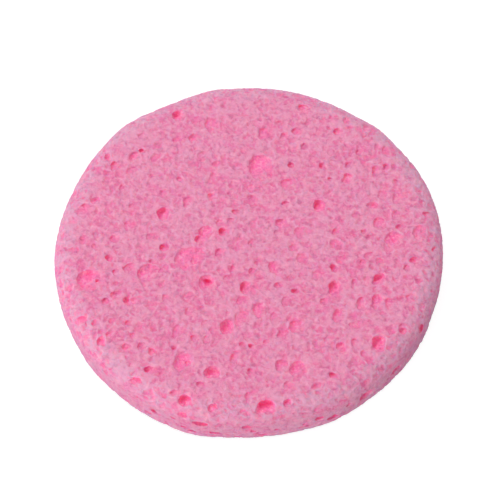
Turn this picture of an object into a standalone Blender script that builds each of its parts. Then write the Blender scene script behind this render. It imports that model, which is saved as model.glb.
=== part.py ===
"""A round facial cleansing sponge: one die-cut block of open-cell cellulose.

The block is a disc with a slightly uneven rim, a wide soft shoulder above and a tighter
round below. Bubbles in the material lie cut open all over it. They are flatter than they
are wide, so they show as round pores on the two faces and as slits around the side.
Lengths are in metres. +Z is up, and the origin is the middle of the resting face.
"""

import math
import random

import bmesh
import bpy
from mathutils import Matrix, Vector

# The block: overall size, and the rounding of its upper and lower edge
DISC_DIAMETER = 0.080
DISC_THICKNESS = 0.010
SHOULDER_REACH = 0.0045
SHOULDER_DROP = 0.0030
FOOT_REACH = 0.0020
FOOT_RISE = 0.0020

# Swells of the rim: waves in one turn, then their cosine and sine height over the radius
RIM_WAVE_SHARES = (
    (2, -0.008, 0.006),
    (3, 0.004, 0.000),
    (5, -0.002, 0.000),
    (6, 0.001, 0.003),
    (7, -0.002, -0.002),
)

# The bubbles: how wide the widest and the narrowest pore opens, and the wall between two
WIDEST_PORE = 0.0068
NARROWEST_PORE = 0.0012
PORE_WALL = 0.0003

# How deep a pore goes over its mean opening, and how far its middle lies under the face
# over the bubble's half height: a pocket closes in over itself, a dish is cut off shallow
POCKET_SHARES = (0.80, 0.45)
BOWL_SHARES = (0.45, 0.08)
DISH_SHARES = (0.20, -0.45)

# Pores of the upper face, widest first: place over the radius, opening across and along
# over the widest pore, and turn over a full turn
UPPER_DISH_SHARES = (
    (-0.29, -0.11, 1.00, 0.92, 0),
    (-0.50, -0.20, 0.61, 0.82, 0),
    (-0.03, -0.46, 0.48, 0.64, 0),
    (-0.84, 0.18, 0.51, 0.57, 0),
    (-0.19, 0.72, 0.45, 0.64, 0.08),
    (0.21, 0.34, 0.54, 0.53, 0),
    (0.88, 0.05, 0.51, 0.50, 0),
    (0.78, 0.25, 0.45, 0.53, 0),
    (-0.55, -0.80, 0.51, 0.43, 0),
    (0.27, 0.05, 0.45, 0.43, 0),
    (-0.35, -0.53, 0.33, 0.53, 0),
    (-0.48, 0.51, 0.42, 0.39, 0),
    (0.73, 0.56, 0.39, 0.39, 0),
    (0.35, -0.20, 0.39, 0.39, 0),
    (-0.60, 0.43, 0.42, 0.36, 0),
    (0.55, -0.49, 0.42, 0.36, 0),
    (0.16, -0.39, 0.36, 0.42, 0),
    (-0.28, 0.64, 0.36, 0.36, 0),
    (-0.67, -0.55, 0.36, 0.36, 0),
    (0.44, -0.02, 0.36, 0.36, 0),
    (0.62, 0.20, 0.36, 0.36, 0),
    (0.62, -0.09, 0.39, 0.32, 0),
    (0.19, 0.64, 0.30, 0.39, 0),
    (0.77, -0.50, 0.33, 0.36, 0),
    (-0.57, -0.36, 0.36, 0.32, 0),
    (0.03, -0.01, 0.36, 0.32, 0),
    (0.20, -0.83, 0.36, 0.32, 0),
    (-0.17, -0.95, 0.36, 0.32, 0),
    (-0.29, -0.41, 0.33, 0.32, 0),
    (0.02, 0.25, 0.27, 0.36, 0),
    (-0.46, -0.75, 0.33, 0.28, 0),
    (0.52, 0.76, 0.30, 0.28, 0),
    (-0.50, 0.02, 0.30, 0.28, 0),
    (0.00, -0.89, 0.24, 0.36, 0),
)
UPPER_BOWL_SHARES = (
    (-0.80, -0.23, 0.73, 0.71, 0),
    (0.05, 0.46, 0.54, 0.85, 0),
    (-0.32, -0.70, 0.57, 0.71, 0),
    (0.74, 0.01, 0.54, 0.60, 0),
    (0.24, -0.74, 0.48, 0.50, 0),
    (-0.22, 0.04, 0.39, 0.60, 0),
    (0.64, -0.59, 0.39, 0.53, 0),
    (0.05, -0.40, 0.36, 0.57, 0),
    (0.24, -0.50, 0.42, 0.43, 0),
    (0.64, -0.36, 0.30, 0.57, 0),
    (0.67, 0.11, 0.39, 0.43, 0),
    (0.08, 0.67, 0.30, 0.46, 0),
    (0.17, 0.11, 0.39, 0.36, 0),
    (0.16, -0.72, 0.33, 0.39, 0),
    (0.13, -0.15, 0.36, 0.36, 0.12),
    (0.56, -0.37, 0.24, 0.50, 0),
    (0.51, 0.38, 0.30, 0.36, 0),
    (0.66, 0.43, 0.24, 0.43, 0),
    (0.44, -0.44, 0.24, 0.43, 0),
    (0.47, 0.68, 0.30, 0.32, 0),
    (0.17, -0.54, 0.30, 0.32, 0),
    (-0.70, 0.46, 0.27, 0.32, 0),
    (0.29, 0.83, 0.30, 0.28, 0),
    (-0.68, 0.02, 0.30, 0.28, 0),
    (-0.60, 0.53, 0.27, 0.28, 0),
    (0.25, 0.68, 0.24, 0.32, 0),
    (-0.19, 0.27, 0.27, 0.28, 0),
    (0.92, 0.17, 0.36, 0.21, 0),
    (0.45, 0.06, 0.27, 0.28, 0),
    (-0.73, -0.58, 0.24, 0.32, 0),
    (-0.07, -0.68, 0.24, 0.32, 0),
    (0.38, -0.35, 0.30, 0.25, 0.08),
    (-0.79, 0.25, 0.24, 0.28, 0),
    (-0.15, -0.06, 0.24, 0.28, 0),
    (-0.66, -0.31, 0.27, 0.25, 0),
    (0.84, -0.11, 0.27, 0.25, 0),
    (0.70, -0.36, 0.21, 0.32, 0),
    (-0.08, -0.16, 0.21, 0.28, 0),
    (0.15, -0.26, 0.24, 0.25, 0),
    (-0.32, 0.23, 0.18, 0.32, 0),
    (-0.62, 0.10, 0.18, 0.32, 0),
    (-0.48, -0.64, 0.21, 0.25, 0),
    (0.01, -0.75, 0.21, 0.25, 0),
    (-0.74, 0.52, 0.18, 0.28, 0),
)
UPPER_POCKET_SHARES = (
    (-0.21, -0.25, 0.45, 0.57, 0),
    (0.08, -0.97, 0.45, 0.46, 0),
    (-0.44, 0.17, 0.33, 0.50, 0),
    (-0.18, -0.75, 0.42, 0.39, 0),
    (0.43, -0.27, 0.36, 0.43, 0),
    (-0.11, -0.50, 0.33, 0.46, 0),
    (-0.02, -0.27, 0.27, 0.43, 0),
    (0.65, -0.22, 0.24, 0.46, -0.12),
    (-0.38, 0.79, 0.27, 0.39, 0),
    (-0.31, -0.90, 0.33, 0.32, 0),
    (0.36, 0.22, 0.24, 0.36, 0),
    (0.19, -0.92, 0.24, 0.32, 0),
    (-0.13, 0.06, 0.27, 0.25, 0),
    (-0.43, -0.03, 0.21, 0.25, 0),
    (0.86, -0.48, 0.21, 0.25, 0),
    (-0.49, -0.73, 0.21, 0.21, 0),
    (0.23, -0.29, 0.24, 0.18, 0),
    (-0.71, -0.09, 0.18, 0.21, 0),
    (-0.61, -0.35, 0.18, 0.21, 0),
    (0.41, -0.77, 0.24, 0.14, -0.08),
)

# Slits of the side: turn from +X over a full turn, height over the thickness, length over
# the longest slit
LONGEST_SLIT = 0.0034
SLIT_HEIGHT = 0.0012
SLIT_DEPTH = 0.0014
SIDE_SLIT_SHARES = (
    (-0.285, 0.60, 1.00),
    (-0.304, 0.75, 0.60),
    (-0.325, 0.45, 0.45),
    (-0.316, 0.22, 0.45),
    (-0.291, 0.22, 0.50),
    (-0.275, 0.35, 0.60),
    (-0.259, 0.18, 0.50),
    (-0.250, 0.62, 0.60),
    (-0.243, 0.30, 0.60),
    (-0.205, 0.52, 0.75),
    (-0.188, 0.32, 0.80),
    (-0.161, 0.48, 1.00),
    (-0.130, 0.55, 1.00),
    (-0.352, 0.62, 0.45),
)

# Pores and slits where no photographed one lies: the underside, and the rest of the side.
# The higher SMALL_PORE_POWER is, the more of the scattered pores are small ones.
UNDERSIDE_PORES = 48
UNDERSIDE_KINDS = (POCKET_SHARES, BOWL_SHARES, BOWL_SHARES, DISH_SHARES)
SMALL_PORE_POWER = 3
PORE_STRETCH_SHARES = (0.8, 1.25)
SIDE_SLITS = 34
SLIT_LENGTH_SHARES = (0.45, 1)
SLIT_BAND_SHARES = (0.22, 0.66)
SCATTER_SEED = 7
SCATTER_TRIES = 40
SCATTER_EDGE_SHARE = 0.92
REST_PATCH_RADIUS = 0.0040

# Facets
RIM_STEPS = 96
SHOULDER_STEPS = 5
FOOT_STEPS = 3
PORE_FACETS = ((0.0042, 12, 6), (0.0026, 10, 5), (0, 8, 4))
SLIT_FACETS = (8, 3)
SHARP_EDGE_DEGREES = 40

SPONGE_PINK = (0.78, 0.25, 0.45, 1.0)
SPONGE_ROUGHNESS = 0.9

RADIUS = DISC_DIAMETER / 2


def clear_scene():
    for obj in list(bpy.data.objects):
        bpy.data.objects.remove(obj, do_unlink=True)


def rim_radius(angle):
    """The disc's radius in this direction, with the swells of its rim."""
    swell = sum(
        cosine * math.cos(waves * angle) + sine * math.sin(waves * angle)
        for waves, cosine, sine in RIM_WAVE_SHARES
    )
    return RADIUS * (1 + swell)


def edge_profile():
    """The block's edge from the upper face to the resting face, as (inset, height)."""
    points = []
    for step in range(SHOULDER_STEPS + 1):
        turn = math.pi / 2 * (1 - step / SHOULDER_STEPS)
        inset = SHOULDER_REACH * (1 - math.cos(turn))
        points.append((inset, DISC_THICKNESS - SHOULDER_DROP * (1 - math.sin(turn))))
    for step in range(FOOT_STEPS + 1):
        turn = math.pi / 2 * step / FOOT_STEPS
        points.append((FOOT_REACH * (1 - math.cos(turn)), FOOT_RISE * (1 - math.sin(turn))))
    return points


def face_height(x, y):
    """How high the block's upper surface lies over this place."""
    inset = rim_radius(math.atan2(y, x)) - math.hypot(x, y)
    if inset >= SHOULDER_REACH:
        return DISC_THICKNESS
    run = 1 - max(inset, 0) / SHOULDER_REACH
    return DISC_THICKNESS - SHOULDER_DROP * (1 - math.sqrt(1 - run * run))


def side_inset(height):
    """How far the block's side lies inside its rim at this height."""
    if height > DISC_THICKNESS - SHOULDER_DROP:
        rise = (height - DISC_THICKNESS + SHOULDER_DROP) / SHOULDER_DROP
        return SHOULDER_REACH * (1 - math.sqrt(1 - rise * rise))
    fall = max(FOOT_RISE - height, 0) / FOOT_RISE
    return FOOT_REACH * (1 - math.sqrt(1 - fall * fall))


def block_mesh():
    """The whole block before any bubble is cut open: rings from the top edge to the foot."""
    shape = bmesh.new()
    rings = []
    for inset, height in edge_profile():
        ring = []
        for step in range(RIM_STEPS):
            angle = math.tau * step / RIM_STEPS
            radius = rim_radius(angle) - inset
            ring.append(shape.verts.new((radius * math.cos(angle), radius * math.sin(angle), height)))
        rings.append(ring)
    shape.faces.new(rings[0])
    shape.faces.new(reversed(rings[-1]))
    for upper, lower in zip(rings, rings[1:]):
        for step in range(RIM_STEPS):
            after = (step + 1) % RIM_STEPS
            shape.faces.new((upper[step], lower[step], lower[after], upper[after]))
    mesh = bpy.data.meshes.new("sponge")
    shape.to_mesh(mesh)
    shape.free()
    return mesh


class Bubble:
    """One bubble that the surface cuts open: a middle, three half sizes, a turn, and facets
    as segments and rings."""

    def __init__(self, middle, half_sizes, turn, facets=SLIT_FACETS):
        self.middle = Vector(middle)
        self.half_sizes = half_sizes
        self.turn = turn
        self.facets = facets
        self.reach = max(half_sizes[:2])

    def touches(self, other):
        """Whether the two lie closer than a pore's wall."""
        apart = self.middle - other.middle
        beside = apart.xy.length < self.reach + other.reach + PORE_WALL
        return beside and abs(apart.z) < self.half_sizes[2] + other.half_sizes[2] + PORE_WALL

    def floor_under(self, x, y, height):
        """The height of the open bubble's floor at this place, or the height given outside it."""
        across = Matrix.Rotation(-self.turn, 2) @ Vector((x - self.middle.x, y - self.middle.y))
        run = math.hypot(across.x / self.half_sizes[0], across.y / self.half_sizes[1])
        if run >= 1:
            return height
        return min(height, self.middle.z - self.half_sizes[2] * math.sqrt(1 - run * run))

    def matrix(self):
        turned = Matrix.Translation(self.middle) @ Matrix.Rotation(self.turn, 4, "Z")
        return turned @ Matrix.Diagonal((*self.half_sizes, 1))


def face_bubble(x, y, surface, inward, across, along, turn, kind_shares):
    """A bubble that opens in a face: inward is -1 under the upper face and 1 over the underside."""
    depth_share, sunk_share = kind_shares
    half_height = depth_share * (across + along) / 2 / (1 + sunk_share)
    widening = 1 / math.sqrt(1 - sunk_share**2)
    middle = (x, y, surface + inward * sunk_share * half_height)
    half_sizes = (across / 2 * widening, along / 2 * widening, half_height)
    facets = next(counts for least, *counts in PORE_FACETS if max(across, along) >= least)
    return Bubble(middle, half_sizes, turn, facets)


def side_bubble(angle, height, length):
    """A bubble that opens in the side as a slit."""
    radius = rim_radius(angle) - side_inset(height)
    middle = (radius * math.cos(angle), radius * math.sin(angle), height)
    stretch = length / LONGEST_SLIT
    return Bubble(middle, (SLIT_DEPTH * stretch, length / 2, SLIT_HEIGHT / 2), angle)


def upper_bubbles():
    """The pores of the upper face. One that lies in a wider one opens from that one's floor."""
    placed = []
    for table, kind_shares in (
        (UPPER_DISH_SHARES, DISH_SHARES),
        (UPPER_BOWL_SHARES, BOWL_SHARES),
        (UPPER_POCKET_SHARES, POCKET_SHARES),
    ):
        for x_share, y_share, across_share, along_share, turn_share in table:
            x = RADIUS * x_share
            y = RADIUS * y_share
            surface = face_height(x, y)
            for wider in placed:
                surface = wider.floor_under(x, y, surface)
            across = WIDEST_PORE * across_share
            along = WIDEST_PORE * along_share
            turn = math.tau * turn_share
            placed.append(face_bubble(x, y, surface, -1, across, along, turn, kind_shares))
    return placed


def underside_bubbles(chance):
    """Pores scattered over the resting face, clear of each other and of its middle."""
    placed = []
    patch = Bubble((0, 0, 0), (REST_PATCH_RADIUS, REST_PATCH_RADIUS, REST_PATCH_RADIUS), 0)
    for _ in range(UNDERSIDE_PORES):
        wideness = chance.random() ** SMALL_PORE_POWER
        width = NARROWEST_PORE + (WIDEST_PORE - NARROWEST_PORE) * wideness
        kind_shares = chance.choice(UNDERSIDE_KINDS)
        along = width * chance.uniform(*PORE_STRETCH_SHARES)
        turn = chance.uniform(0, math.pi)
        for _ in range(SCATTER_TRIES):
            angle = chance.uniform(0, math.tau)
            away = RADIUS * SCATTER_EDGE_SHARE * math.sqrt(chance.random())
            x = away * math.cos(angle)
            y = away * math.sin(angle)
            found = face_bubble(x, y, 0, 1, width, along, turn, kind_shares)
            if not any(found.touches(other) for other in [patch, *placed]):
                placed.append(found)
                break
    return placed


def side_bubbles(chance, others):
    """The photographed slits, then scattered ones clear of them and of the other pores."""
    placed = [
        side_bubble(math.tau * turn_share, DISC_THICKNESS * height_share, LONGEST_SLIT * length_share)
        for turn_share, height_share, length_share in SIDE_SLIT_SHARES
    ]
    low_share, high_share = SLIT_BAND_SHARES
    for _ in range(SIDE_SLITS):
        length = LONGEST_SLIT * chance.uniform(*SLIT_LENGTH_SHARES)
        for _ in range(SCATTER_TRIES):
            angle = chance.uniform(0, math.tau)
            height = DISC_THICKNESS * chance.uniform(low_share, high_share)
            found = side_bubble(angle, height, length)
            if not any(found.touches(other) for other in placed + others):
                placed.append(found)
                break
    return placed


def layers_of(bubbles):
    """The bubbles in groups, so that no two in one group touch."""
    layers = []
    for bubble in bubbles:
        for layer in layers:
            if not any(bubble.touches(other) for other in layer):
                layer.append(bubble)
                break
        else:
            layers.append([bubble])
    return layers


def cutter_object(name, bubbles):
    shape = bmesh.new()
    for bubble in bubbles:
        segments, rings = bubble.facets
        bmesh.ops.create_uvsphere(
            shape, u_segments=segments, v_segments=rings, radius=1, matrix=bubble.matrix()
        )
    mesh = bpy.data.meshes.new(name)
    shape.to_mesh(mesh)
    shape.free()
    mesh.shade_smooth()
    cutter = bpy.data.objects.new(name, mesh)
    bpy.context.scene.collection.objects.link(cutter)
    cutter.hide_render = True
    cutter.display_type = "WIRE"
    return cutter


def cut_bubbles(sponge, bubbles):
    for number, layer in enumerate(layers_of(bubbles), 1):
        cut = sponge.modifiers.new(f"open_bubbles_{number}", "BOOLEAN")
        cut.operation = "DIFFERENCE"
        cut.solver = "EXACT"
        cut.object = cutter_object(f"bubbles_{number}", layer)


def sponge_material():
    material = bpy.data.materials.new("pink_cellulose")
    material.use_nodes = True
    shader = material.node_tree.nodes["Principled BSDF"]
    shader.inputs["Base Color"].default_value = SPONGE_PINK
    shader.inputs["Roughness"].default_value = SPONGE_ROUGHNESS
    shader.inputs["Metallic"].default_value = 0
    return material


def build():
    clear_scene()
    chance = random.Random(SCATTER_SEED)
    faces = upper_bubbles() + underside_bubbles(chance)
    bubbles = faces + side_bubbles(chance, faces)
    mesh = block_mesh()
    mesh.shade_smooth()
    mesh.set_sharp_from_angle(angle=math.radians(SHARP_EDGE_DEGREES))
    mesh.materials.append(sponge_material())
    sponge = bpy.data.objects.new("sponge", mesh)
    bpy.context.scene.collection.objects.link(sponge)
    cut_bubbles(sponge, bubbles)


build()
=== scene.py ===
"""Facial cleansing sponge: a round, flat block of pink open-cell cellulose on a white floor.

The sponge is one piece. Geometry Nodes fill the block's shape with material, take away the
bubbles that the cut opened, and turn what is left into a surface. The pores and slits that
the photograph shows are listed below. The finer cells, and the pores and slits that it
doesn't show, are scattered from fixed seeds.
"""

import math
import random

import bpy
from bpy.props import FloatProperty, FloatVectorProperty, IntProperty, PointerProperty
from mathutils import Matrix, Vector


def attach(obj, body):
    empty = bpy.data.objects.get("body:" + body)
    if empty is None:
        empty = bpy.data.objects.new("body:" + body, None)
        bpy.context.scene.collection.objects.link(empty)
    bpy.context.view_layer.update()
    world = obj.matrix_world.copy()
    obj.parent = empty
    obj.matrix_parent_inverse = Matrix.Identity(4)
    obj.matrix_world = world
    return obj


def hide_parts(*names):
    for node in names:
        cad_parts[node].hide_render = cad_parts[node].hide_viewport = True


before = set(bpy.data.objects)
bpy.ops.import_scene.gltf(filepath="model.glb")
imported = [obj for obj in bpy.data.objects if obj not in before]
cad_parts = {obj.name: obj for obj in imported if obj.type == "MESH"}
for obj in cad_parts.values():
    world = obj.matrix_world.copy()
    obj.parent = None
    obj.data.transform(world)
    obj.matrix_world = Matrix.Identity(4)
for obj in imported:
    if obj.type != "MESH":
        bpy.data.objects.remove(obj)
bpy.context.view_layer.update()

bl_info = {
    "name": "Facial Cleansing Sponge",
    "version": (1, 0, 0),
    "blender": (4, 5, 0),
    "location": "3D View > Sidebar > Sponge",
    "description": "Builds a round cellulose sponge with open cells, and its white stage",
    "category": "Object",
}

SPONGE_NODE = "sponge"

# Swells of the rim: waves in one turn, then their cosine and sine height over the radius
RIM_WAVES = (
    (2, -0.008, 0.006),
    (3, 0.004, 0.000),
    (5, -0.002, 0.000),
    (6, 0.001, 0.003),
    (7, -0.002, -0.002),
)

# Small unevennesses of the rim: turn from +X, half width as a turn, and rise over the radius
RIM_NICKS = (
    (0.365, 0.026, 0.006),
    (0.325, 0.030, -0.008),
    (0.281, 0.022, 0.009),
    (0.130, 0.024, 0.010),
    (-0.052, 0.026, -0.007),
    (-0.180, 0.036, 0.008),
    (-0.293, 0.030, 0.009),
    (-0.396, 0.035, 0.007),
)

# Pores of the upper face: place over the radius, opening across and along over the widest
# pore, and for some a turn over a full turn. A pocket is the deepest kind and closes in over
# itself, a bowl is less deep, and a dish is shallow.
DISHES = (
    (-0.29, -0.11, 1.00, 0.92),
    (-0.50, -0.20, 0.61, 0.82),
    (-0.03, -0.46, 0.48, 0.64),
    (-0.84, 0.18, 0.51, 0.57),
    (-0.19, 0.72, 0.45, 0.64, 0.08),
    (0.21, 0.34, 0.54, 0.53),
    (0.88, 0.05, 0.51, 0.50),
    (0.78, 0.25, 0.45, 0.53),
    (-0.55, -0.80, 0.40, 0.32),
    (0.27, 0.05, 0.45, 0.43),
    (-0.35, -0.53, 0.33, 0.53),
    (-0.48, 0.51, 0.42, 0.39),
    (0.73, 0.56, 0.39, 0.39),
    (-0.60, -0.16, 0.39, 0.39),
    (0.35, -0.20, 0.39, 0.39),
    (-0.60, 0.43, 0.42, 0.36),
    (0.55, -0.49, 0.42, 0.36),
    (0.19, -0.36, 0.36, 0.39),
    (0.13, -0.45, 0.36, 0.39),
    (-0.28, 0.64, 0.36, 0.36),
    (0.64, 0.21, 0.36, 0.36),
    (-0.67, -0.55, 0.36, 0.36),
    (0.27, -0.10, 0.36, 0.36),
    (0.44, -0.02, 0.36, 0.36),
    (0.62, -0.09, 0.39, 0.32),
    (0.19, 0.64, 0.30, 0.39),
    (0.03, -0.28, 0.33, 0.36),
    (0.77, -0.50, 0.33, 0.36),
    (-0.57, -0.36, 0.36, 0.32),
    (-0.30, -0.33, 0.36, 0.32),
    (0.03, -0.01, 0.36, 0.32),
    (-0.03, -0.35, 0.36, 0.32),
    (0.20, -0.83, 0.36, 0.32),
    (-0.17, -0.95, 0.36, 0.32),
    (0.76, 0.16, 0.33, 0.32),
    (-0.29, -0.41, 0.33, 0.32),
    (0.48, -0.11, 0.33, 0.32),
    (0.02, 0.25, 0.27, 0.36),
    (-0.18, 0.39, 0.27, 0.36),
    (0.03, 0.11, 0.30, 0.32),
    (-0.46, -0.75, 0.33, 0.28),
    (-0.56, 0.65, 0.30, 0.28),
    (0.52, 0.76, 0.30, 0.28),
    (-0.50, 0.02, 0.30, 0.28),
    (-0.04, 0.01, 0.24, 0.36),
    (-0.36, -0.87, 0.30, 0.28),
    (0.00, -0.89, 0.24, 0.36),
    (0.02, 0.33, 0.33, 0.25),
    (-0.24, 0.53, 0.27, 0.28),
    (0.32, 0.74, 0.27, 0.28),
    (-0.12, 0.50, 0.24, 0.32),
    (0.68, 0.58, 0.27, 0.28),
    (0.05, -0.49, 0.27, 0.28),
    (-0.21, -0.48, 0.27, 0.28),
    (-0.44, 0.29, 0.24, 0.28),
    (-0.41, -0.34, 0.24, 0.28),
    (-0.42, -0.25, 0.24, 0.28),
    (-0.38, 0.62, 0.27, 0.25),
    (0.69, 0.29, 0.27, 0.25),
    (0.53, -0.69, 0.27, 0.25),
    (-0.05, 0.46, 0.24, 0.25),
    (-0.09, 0.29, 0.24, 0.25),
    (0.05, -0.13, 0.24, 0.25),
    (-0.67, -0.46, 0.27, 0.21, 0.12),
    (0.61, 0.37, 0.21, 0.21),
    (0.55, 0.16, 0.21, 0.21),
    (0.34, 0.53, 0.21, 0.21),
    (0.39, -0.57, 0.21, 0.21),
    (0.58, -0.12, 0.24, 0.18, 0.12),
    (0.12, 0.93, 0.21, 0.18),
    (-0.83, -0.46, 0.42, 0.36),
    (-0.89, -0.06, 0.36, 0.30),
    (-0.77, 0.04, 0.30, 0.28),
    (0.22, -0.22, 0.30, 0.30),
    (-0.10, -0.22, 0.30, 0.30),
    (0.77, -0.52, 0.30, 0.26),
    (0.52, -0.49, 0.30, 0.28),
    (-0.84, 0.01, 0.27, 0.28),
    (0.15, 0.05, 0.27, 0.28),
    (0.86, -0.24, 0.27, 0.25),
    (-0.48, -0.12, 0.24, 0.24),
    (0.29, -0.37, 0.24, 0.24),
    (0.23, -0.04, 0.24, 0.24),
    (-0.55, -0.87, 0.24, 0.21),
    (-0.48, 0.59, 0.21, 0.21),
    (-0.71, 0.59, 0.21, 0.21),
    (-0.01, 0.65, 0.21, 0.21),
    (-0.91, -0.28, 0.21, 0.21),
    (-0.26, -0.34, 0.21, 0.21),
    (0.31, -0.02, 0.21, 0.21),
    (0.64, 0.03, 0.21, 0.21),
    (0.71, -0.17, 0.21, 0.21),
    (-0.21, -0.57, 0.21, 0.28),
    (-0.30, -0.70, 0.20, 0.20),
    (-0.28, -0.12, 0.18, 0.18),
)
BOWLS = (
    (-0.80, -0.23, 0.73, 0.71),
    (-0.21, -0.25, 0.46, 0.60),
    (0.08, -0.955, 0.54, 0.78),
    (0.19, -0.92, 0.26, 0.32),
    (0.06, 0.455, 0.72, 0.92),
    (-0.32, -0.70, 0.57, 0.71),
    (0.74, 0.01, 0.54, 0.60),
    (0.24, -0.74, 0.48, 0.50),
    (-0.22, 0.04, 0.39, 0.60),
    (0.05, -0.40, 0.36, 0.57),
    (0.24, -0.50, 0.42, 0.43),
    (0.64, -0.36, 0.30, 0.57),
    (0.67, 0.11, 0.39, 0.43),
    (0.08, 0.67, 0.30, 0.46),
    (0.17, 0.11, 0.39, 0.36),
    (0.16, -0.72, 0.33, 0.39),
    (0.13, -0.15, 0.36, 0.36, 0.12),
    (0.56, -0.37, 0.24, 0.50),
    (0.51, 0.38, 0.30, 0.36),
    (0.66, 0.43, 0.24, 0.43),
    (0.44, -0.44, 0.24, 0.43),
    (0.47, 0.68, 0.30, 0.32),
    (0.17, -0.54, 0.30, 0.32),
    (-0.70, 0.46, 0.27, 0.32),
    (0.29, 0.83, 0.30, 0.28),
    (-0.68, 0.02, 0.30, 0.28),
    (-0.60, 0.53, 0.27, 0.28),
    (0.25, 0.68, 0.24, 0.32),
    (-0.19, 0.27, 0.27, 0.28),
    (0.92, 0.17, 0.36, 0.21),
    (0.45, 0.06, 0.27, 0.28),
    (-0.73, -0.58, 0.24, 0.32),
    (-0.07, -0.68, 0.24, 0.32),
    (0.45, -0.61, 0.27, 0.28),
    (0.38, -0.35, 0.30, 0.25, 0.08),
    (-0.79, 0.25, 0.24, 0.28),
    (-0.15, -0.06, 0.24, 0.28),
    (-0.66, -0.31, 0.27, 0.25),
    (0.84, -0.11, 0.27, 0.25),
    (0.70, -0.36, 0.21, 0.32),
    (-0.08, -0.16, 0.21, 0.28),
    (-0.15, 0.11, 0.24, 0.25),
    (0.02, -0.18, 0.24, 0.25),
    (0.15, -0.26, 0.24, 0.25),
    (0.33, -0.83, 0.24, 0.25),
    (-0.32, 0.23, 0.18, 0.32),
    (-0.62, 0.10, 0.18, 0.32),
    (0.52, 0.47, 0.21, 0.25),
    (-0.71, -0.35, 0.21, 0.25),
    (-0.76, -0.48, 0.21, 0.25),
    (0.80, -0.16, 0.21, 0.25),
    (-0.60, -0.61, 0.21, 0.25),
    (-0.53, -0.61, 0.21, 0.25),
    (-0.48, -0.64, 0.21, 0.25),
    (0.01, -0.75, 0.21, 0.25),
    (0.52, -0.58, 0.21, 0.25),
    (-0.74, 0.52, 0.18, 0.28),
    (0.62, 0.71, 0.18, 0.28),
    (-0.67, -0.18, 0.18, 0.28),
    (0.09, -0.59, 0.18, 0.28),
    (0.29, 0.59, 0.24, 0.21),
    (0.77, 0.09, 0.24, 0.21),
    (0.57, -0.65, 0.24, 0.21, 0.12),
    (-0.23, -0.82, 0.27, 0.18),
    (-0.17, 0.48, 0.21, 0.21),
    (0.19, 0.23, 0.21, 0.21),
    (-0.78, -0.03, 0.21, 0.21),
    (-0.27, -0.56, 0.21, 0.21),
    (0.66, -0.12, 0.21, 0.21),
    (0.81, -0.33, 0.21, 0.21),
    (0.76, 0.36, 0.18, 0.25),
    (-0.32, -0.06, 0.24, 0.18),
    (-0.57, -0.55, 0.15, 0.28),
    (0.58, 0.55, 0.18, 0.21),
    (0.61, 0.51, 0.18, 0.21),
    (0.59, 0.06, 0.18, 0.21),
    (0.61, 0.02, 0.18, 0.21),
    (0.94, -0.04, 0.18, 0.21),
    (-0.03, -0.60, 0.18, 0.21),
    (-0.07, 0.18, 0.21, 0.18),
    (-0.32, -0.16, 0.21, 0.18, 0.12),
    (0.53, -0.24, 0.15, 0.25),
    (-0.36, 0.38, 0.18, 0.18),
    (-0.09, 0.13, 0.18, 0.18),
    (-0.23, -0.39, 0.18, 0.18),
    (-0.66, 0.33, 0.12, 0.25, -0.08),
    (0.11, 0.40, 0.15, 0.18),
    (0.16, 0.74, 0.15, 0.18),
    (-0.60, 0.22, 0.18, 0.14),
    (0.42, 0.38, 0.18, 0.14),
    (-0.76, -0.23, 0.12, 0.12),
    (0.74, 0.01, 0.12, 0.12),
)
POCKETS = (
    (0.64, -0.59, 0.36, 0.46),
    (-0.205, -0.235, 0.26, 0.26),
    (-0.44, 0.17, 0.33, 0.50),
    (-0.18, -0.75, 0.42, 0.39),
    (0.43, -0.27, 0.36, 0.43),
    (-0.11, -0.50, 0.33, 0.46),
    (-0.02, -0.27, 0.27, 0.43),
    (0.65, -0.22, 0.24, 0.46, -0.12),
    (-0.38, 0.79, 0.27, 0.39),
    (-0.31, -0.90, 0.33, 0.32),
    (0.36, 0.22, 0.34, 0.42),
    (-0.13, 0.06, 0.27, 0.25),
    (-0.43, -0.03, 0.21, 0.25),
    (0.86, -0.48, 0.21, 0.25),
    (-0.49, -0.73, 0.21, 0.21),
    (0.23, -0.29, 0.24, 0.18),
    (-0.71, -0.09, 0.18, 0.21),
    (-0.61, -0.35, 0.18, 0.21),
    (0.43, -0.16, 0.15, 0.25),
    (0.41, -0.77, 0.24, 0.14, -0.08),
    (0.38, 0.46, 0.18, 0.18),
    (0.71, 0.46, 0.15, 0.21),
    (-0.26, 0.02, 0.15, 0.21),
    (0.22, 0.47, 0.15, 0.18),
    (0.01, -0.61, 0.15, 0.18),
    (-0.56, 0.56, 0.18, 0.14),
    (-0.60, -0.47, 0.12, 0.14),
    (-0.37, -0.62, 0.15, 0.15),
)

# A usual pore's depth over its width, how far a pore's middle lies under the face over its
# bubble's half height, and how far its floor lies from the middle over the same
POCKET_FORM = (0.60, 0.25, 0.75)
BOWL_FORM = (0.24, 0.05, 0.40)
DISH_FORM = (0.12, 0.00, 0.22)

# A wider pore is deeper by this power of its width, and none is deeper than this share of it
DEPTH_POWER = 0.25
DEEPEST_SHARE = 0.8

# The floor's depth where it rises the most, over its depth in the middle
LEDGE_SHARE = 0.25

# How far the upper pores lean over their rise, and how their floors tilt across and along
LEAN = 0.6
TILT_ACROSS = (-1.25, -0.75)
TILT_ALONG = (0.75, 1.25)

# How much of a pore's width rounds its edge, and of its depth at most, and how much of the
# pore is off the slope of its wall
EDGE_SHARE = 0.16
EDGE_DEPTH_SHARE = 0.6
FLAT_SHARE = 0.7

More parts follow.
